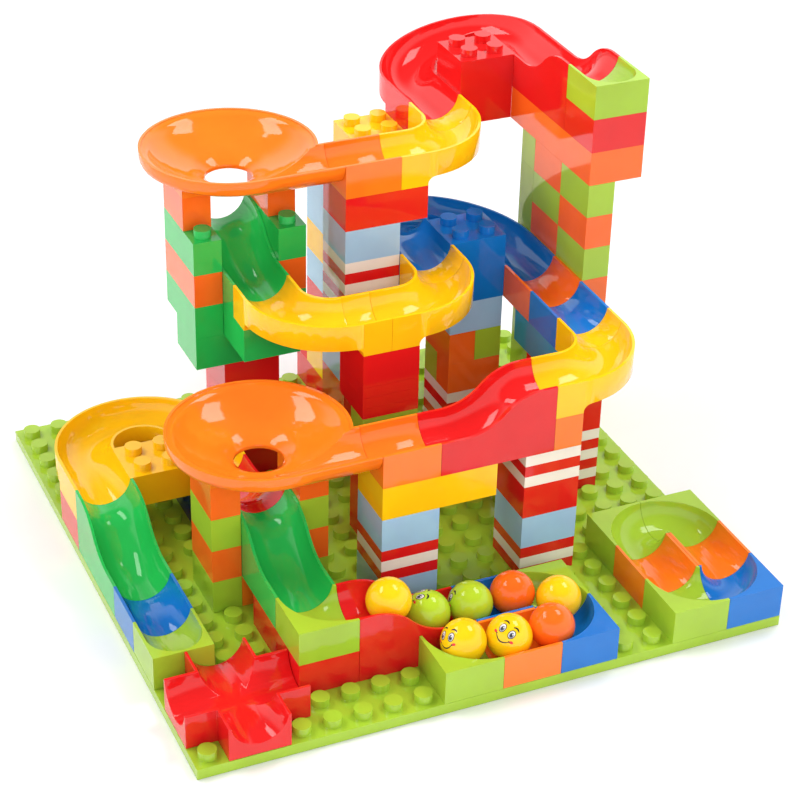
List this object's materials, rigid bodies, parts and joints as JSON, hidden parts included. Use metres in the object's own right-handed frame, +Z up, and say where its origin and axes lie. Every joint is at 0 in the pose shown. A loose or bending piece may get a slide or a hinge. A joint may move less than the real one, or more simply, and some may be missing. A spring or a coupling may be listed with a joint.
{
  "type": "marble run",
  "caption": "Brick-built marble run on a studded base plate, with funnels, slopes, curves, U-turns and a tray of loose balls.",
  "frame": {"origin": "centre of the base plate's underside", "axes": "+X to the right along the front edge, +Y to the back, +Z up; the ball tray is at the front"},
  "size_m": [0.32, 0.3518, 0.2364],
  "materials": {
    "plastic_lime": "glossy moulded plastic, lime",
    "plastic_red": "glossy moulded plastic, red",
    "plastic_blue": "glossy moulded plastic, blue",
    "plastic_green": "glossy moulded plastic, green",
    "plastic_yellow": "glossy moulded plastic, yellow",
    "plastic_navy": "glossy moulded plastic, navy",
    "plastic_orange": "glossy moulded plastic, orange",
    "plastic_bright_orange": "glossy moulded plastic, bright orange",
    "plastic_white": "glossy moulded plastic, white",
    "plastic_grey_blue": "glossy moulded plastic, grey blue",
    "plastic_cyan_blue": "glossy moulded plastic, cyan blue",
    "ball_yellow": "glossy moulded plastic, yellow, ball",
    "ball_bright_orange": "glossy moulded plastic, bright orange, ball",
    "ball_lime": "glossy moulded plastic, lime, ball"
  },
  "bodies": {
    "run": {"base_plate": "plastic_lime", "cross_track": "plastic_red", "left_end_track": "plastic_lime", "left_straight": "plastic_blue", "left_slope": "plastic_green", "flat_u_turn": "plastic_yellow", "u_turn_foot_red": "plastic_red", "u_turn_foot_navy": "plastic_navy", "lower_corner": "plastic_lime", "lower_slope": "plastic_green", "lower_back_slope": "plastic_red", "lower_funnel": "plastic_orange", "lower_post_lime": "plastic_lime", "lower_post_orange": "plastic_bright_orange", "beam_yellow": "plastic_yellow", "middle_straight": "plastic_orange", "middle_slope": "plastic_red", "middle_curve": "plastic_yellow", "right_straight_blue": "plastic_blue", "right_straight_orange": "plastic_bright_orange", "blue_u_turn": "plastic_blue", "centre_curve_left": "plastic_yellow", "centre_curve_right": "plastic_yellow", "upper_slope": "plastic_green", "upper_funnel": "plastic_orange", "upper_post_green": "plastic_green", "upper_post_orange": "plastic_bright_orange", "top_straight": "plastic_orange", "top_curve": "plastic_yellow", "red_u_turn": "plastic_red", "top_slope": "plastic_red", "start_track": "plastic_lime", "ramp": "plastic_red", "tray_straight_blue": "plastic_blue", "tray_straight_orange": "plastic_orange", "tray_corner_blue": "plastic_blue", "tray_corners_lime": "plastic_lime", "loop_corners_lime": "plastic_lime", "loop_corner_blue": "plastic_blue", "loop_straights": "plastic_orange", "front_bricks_red": "plastic_red", "front_bricks_orange": "plastic_orange", "plates_white": "plastic_white", "bricks_grey_blue": "plastic_grey_blue", "brick_cyan": "plastic_cyan_blue", "right_bricks_red": "plastic_red", "right_bricks_orange": "plastic_bright_orange", "right_bricks_lime": "plastic_lime", "tall_tower_orange": "plastic_bright_orange", "tall_tower_lime": "plastic_lime", "back_bricks_red": "plastic_red", "back_bricks_yellow": "plastic_yellow"},
    "ball_1_body": {"ball_1": "ball_yellow"},
    "ball_2_body": {"ball_2": "ball_yellow"},
    "ball_3_body": {"ball_3": "ball_bright_orange"},
    "ball_4_body": {"ball_4": "ball_yellow"},
    "ball_5_body": {"ball_5": "ball_bright_orange"},
    "ball_6_body": {"ball_6": "ball_lime"},
    "ball_7_body": {"ball_7": "ball_lime"},
    "ball_8_body": {"ball_8": "ball_yellow"}
  },
  "joints": [
    {"name": "ball_1_lift", "type": "slide", "parent": "run", "child": "ball_1_body", "axis": [0.1676, 0, 0.9859], "range_m": [0, 0.06]},
    {"name": "ball_2_lift", "type": "slide", "parent": "run", "child": "ball_2_body", "axis": [0.1676, 0, 0.9859], "range_m": [0, 0.06]},
    {"name": "ball_3_lift", "type": "slide", "parent": "run", "child": "ball_3_body", "axis": [0.1676, 0, 0.9859], "range_m": [0, 0.06]},
    {"name": "ball_4_lift", "type": "slide", "parent": "run", "child": "ball_4_body", "axis": [0.1676, 0, 0.9859], "range_m": [0, 0.06]},
    {"name": "ball_5_lift", "type": "slide", "parent": "run", "child": "ball_5_body", "axis": [0.1676, 0, 0.9859], "range_m": [0, 0.06]},
    {"name": "ball_6_lift", "type": "slide", "parent": "run", "child": "ball_6_body", "axis": [0.1676, 0, 0.9859], "range_m": [0, 0.06]},
    {"name": "ball_7_lift", "type": "slide", "parent": "run", "child": "ball_7_body", "axis": [0.1676, 0, 0.9859], "range_m": [0, 0.06]},
    {"name": "ball_8_lift", "type": "slide", "parent": "run", "child": "ball_8_body", "axis": [0.1676, 0, 0.9859], "range_m": [0, 0.06]}
  ]
}
